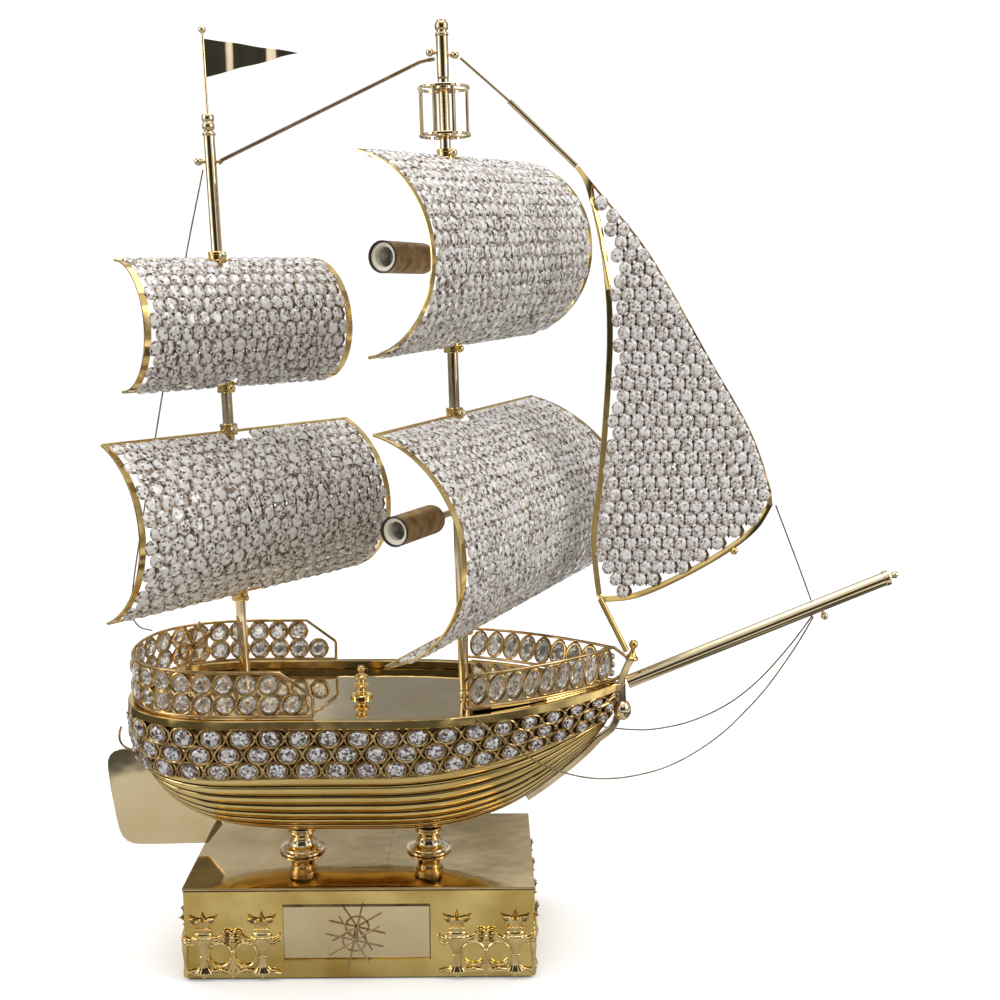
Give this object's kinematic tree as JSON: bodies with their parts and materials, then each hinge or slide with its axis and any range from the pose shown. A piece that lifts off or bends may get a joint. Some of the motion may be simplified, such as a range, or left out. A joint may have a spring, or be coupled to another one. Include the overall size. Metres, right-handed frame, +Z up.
{
  "type": "ship table lamp",
  "caption": "Polished brass sailing-ship table lamp on a rectangular base, with crystal sails on leaning masts, lampholders behind the sails and crystal rails.",
  "frame": {"origin": "middle of the base's underside, on the felt pad", "axes": "+X along the ship towards the bow, +Z up the masts, +Y to the port side (away from the viewer)"},
  "size_m": [0.7522, 0.3919, 0.8598],
  "materials": {
    "polished_brass": "polished gold-coloured brass",
    "cast_brass": "cast brass, polished high spots",
    "mirror_brass": "mirror-polished pale brass",
    "crystal": "faceted clear crystal",
    "porcelain": "unglazed cream ceramic",
    "bronzed_sleeve": "brushed brown bronze",
    "black_plastic": "black moulded plastic",
    "felt": "dark green felt",
    "plated_steel": "zinc-plated steel",
    "rigging_wire": "drawn wire, dull gold-grey"
  },
  "bodies": {
    "root": {"felt_pad": "felt", "bottom_plate": "plated_steel", "base_box": "polished_brass", "base_top_plate": "mirror_brass", "front_panel": "mirror_brass", "corner_casting_stern_port": "cast_brass", "corner_casting_stern_starboard": "cast_brass", "corner_casting_bow_port": "cast_brass", "corner_casting_bow_starboard": "cast_brass", "emblem_wheel": "polished_brass", "cord_grommet": "black_plastic", "terminal_block": "porcelain", "pedestal_aft": "polished_brass", "pedestal_fore": "polished_brass", "tie_rod_aft": "plated_steel", "tie_rod_fore": "plated_steel", "hull_shell": "polished_brass", "hull_crystal_band": "crystal", "gunwale": "polished_brass", "main_deck": "mirror_brass", "fore_deck": "mirror_brass", "aft_rail": "polished_brass", "aft_rail_crystals": "crystal", "fore_rail": "polished_brass", "fore_rail_crystals": "crystal", "stem_ornament": "polished_brass", "bow_finial": "polished_brass", "rudder": "mirror_brass", "capstan": "polished_brass", "helm_stand": "polished_brass", "mizzen_mast": "polished_brass", "main_mast": "polished_brass", "crows_nest": "polished_brass", "bowsprit": "polished_brass", "masthead_rod": "polished_brass", "jib_stay_rod": "polished_brass", "jib_frame": "polished_brass", "jib_crystals": "crystal", "stern_stay": "rigging_wire", "jib_sheet": "rigging_wire", "bobstay_port": "rigging_wire", "bobstay_starboard": "rigging_wire", "lampholder_upper": "porcelain", "lampholder_lower": "porcelain", "lamp_sleeve_upper": "bronzed_sleeve", "lamp_sleeve_lower": "bronzed_sleeve"},
    "mizzen_topsail": {"mizzen_topsail_frame": "polished_brass", "mizzen_topsail_crystals": "crystal", "mizzen_topsail_clamp_screw": "polished_brass"},
    "mizzen_course": {"mizzen_course_frame": "polished_brass", "mizzen_course_crystals": "crystal", "mizzen_course_clamp_screw": "polished_brass"},
    "main_topsail": {"main_topsail_frame": "polished_brass", "main_topsail_crystals": "crystal", "main_topsail_clamp_screw": "polished_brass"},
    "main_course": {"main_course_frame": "polished_brass", "main_course_crystals": "crystal", "main_course_clamp_screw": "polished_brass"},
    "helm": {"helm_wheel": "polished_brass"},
    "pennant": {"pennant": "mirror_brass"}
  },
  "joints": [
    {"name": "mizzen_topsail_swivel", "type": "hinge", "parent": "root", "child": "mizzen_topsail", "pos_m": [-0.12123, 0, 0.599], "axis": [-0.0284, 0, 0.9996], "range_deg": [-20, 20]},
    {"name": "mizzen_course_swivel", "type": "hinge", "parent": "root", "child": "mizzen_course", "pos_m": [-0.11628, 0, 0.425], "axis": [-0.0284, 0, 0.9996], "range_deg": [-20, 20]},
    {"name": "main_topsail_swivel", "type": "hinge", "parent": "root", "child": "main_topsail", "pos_m": [0.08465, 0, 0.662], "axis": [-0.0278, 0, 0.9996], "range_deg": [-12, 20]},
    {"name": "main_course_swivel", "type": "hinge", "parent": "root", "child": "main_course", "pos_m": [0.09152, 0, 0.415], "axis": [-0.0278, 0, 0.9996], "range_deg": [-12, 20]},
    {"name": "helm_turn", "type": "hinge", "parent": "root", "child": "helm", "pos_m": [-0.16, 0, 0.297], "axis": [0.7986, -0.6018, 0], "continuous": true},
    {"name": "pennant_turn", "type": "hinge", "parent": "root", "child": "pennant", "pos_m": [-0.12637, 0, 0.78], "axis": [-0.0284, 0, 0.9996], "continuous": true}
  ]
}
